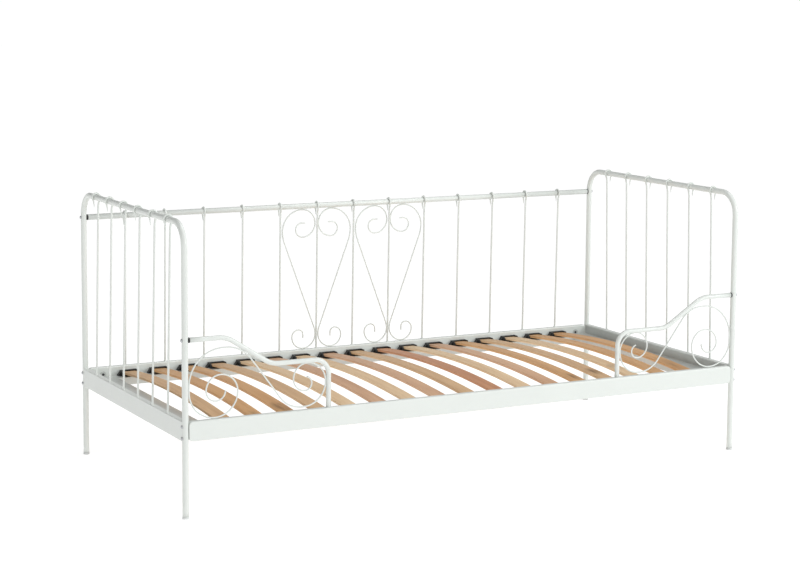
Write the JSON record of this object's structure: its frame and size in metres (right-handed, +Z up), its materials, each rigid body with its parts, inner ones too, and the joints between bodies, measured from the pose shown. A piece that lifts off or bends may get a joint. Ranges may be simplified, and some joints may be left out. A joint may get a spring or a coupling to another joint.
{
  "type": "daybed",
  "caption": "Metal daybed with two tubular end hoops, a rodded back panel with heart scrolls, low scrolled front guards and a bowed slat base.",
  "frame": {"origin": "on the floor, under the middle of the bed, midway between the four post axes", "axes": "+X along the bed towards the right end seen from the open front, +Y from the open front to the back panel, +Z up"},
  "size_m": [2.0942, 0.9581, 0.9282],
  "materials": {
    "white_paint": "smooth satin white powder coat",
    "slat_wood": "clear lacquered laminated birch, from pale tan to reddish brown",
    "black_plastic": "moulded matt black",
    "pale_plastic": "moulded pale grey",
    "black_rubber": "soft matt black",
    "zinc_steel": "bright zinc plated",
    "dark_steel": "black oxide"
  },
  "bodies": {
    "root": {"left_hoop": "white_paint", "right_hoop": "white_paint", "left_end_rail": "white_paint", "right_end_rail": "white_paint", "front_rail": "white_paint", "back_rail": "white_paint", "left_shelf": "white_paint", "right_shelf": "white_paint", "front_ledge": "white_paint", "back_ledge": "white_paint", "left_rod_1": "white_paint", "left_rod_2": "white_paint", "left_rod_3": "white_paint", "left_rod_4": "white_paint", "left_rod_5": "white_paint", "left_rod_6": "white_paint", "right_rod_1": "white_paint", "right_rod_2": "white_paint", "right_rod_3": "white_paint", "right_rod_4": "white_paint", "right_rod_5": "white_paint", "right_rod_6": "white_paint", "back_tube": "white_paint", "back_rods": "white_paint", "heart_scroll_1": "white_paint", "heart_scroll_2": "white_paint", "heart_scroll_3": "white_paint", "heart_scroll_4": "white_paint", "left_guard_tube": "white_paint", "right_guard_tube": "white_paint", "left_guard_scroll": "white_paint", "right_guard_scroll": "white_paint", "slat_01": "slat_wood", "slat_02": "slat_wood", "slat_03": "slat_wood", "slat_04": "slat_wood", "slat_05": "slat_wood", "slat_06": "slat_wood", "slat_07": "slat_wood", "slat_08": "slat_wood", "slat_09": "slat_wood", "slat_10": "slat_wood", "slat_11": "slat_wood", "slat_12": "slat_wood", "slat_13": "slat_wood", "slat_14": "slat_wood", "slat_15": "slat_wood", "slat_16": "slat_wood", "slat_17": "slat_wood", "front_slat_holders": "black_plastic", "back_slat_holders": "black_plastic", "foot_caps": "pale_plastic", "tube_spacers": "black_rubber", "tube_inserts": "zinc_steel", "rail_bolts": "zinc_steel", "rail_nuts": "zinc_steel", "tube_bolts": "zinc_steel", "shelf_screws": "dark_steel"}
  },
  "joints": []
}
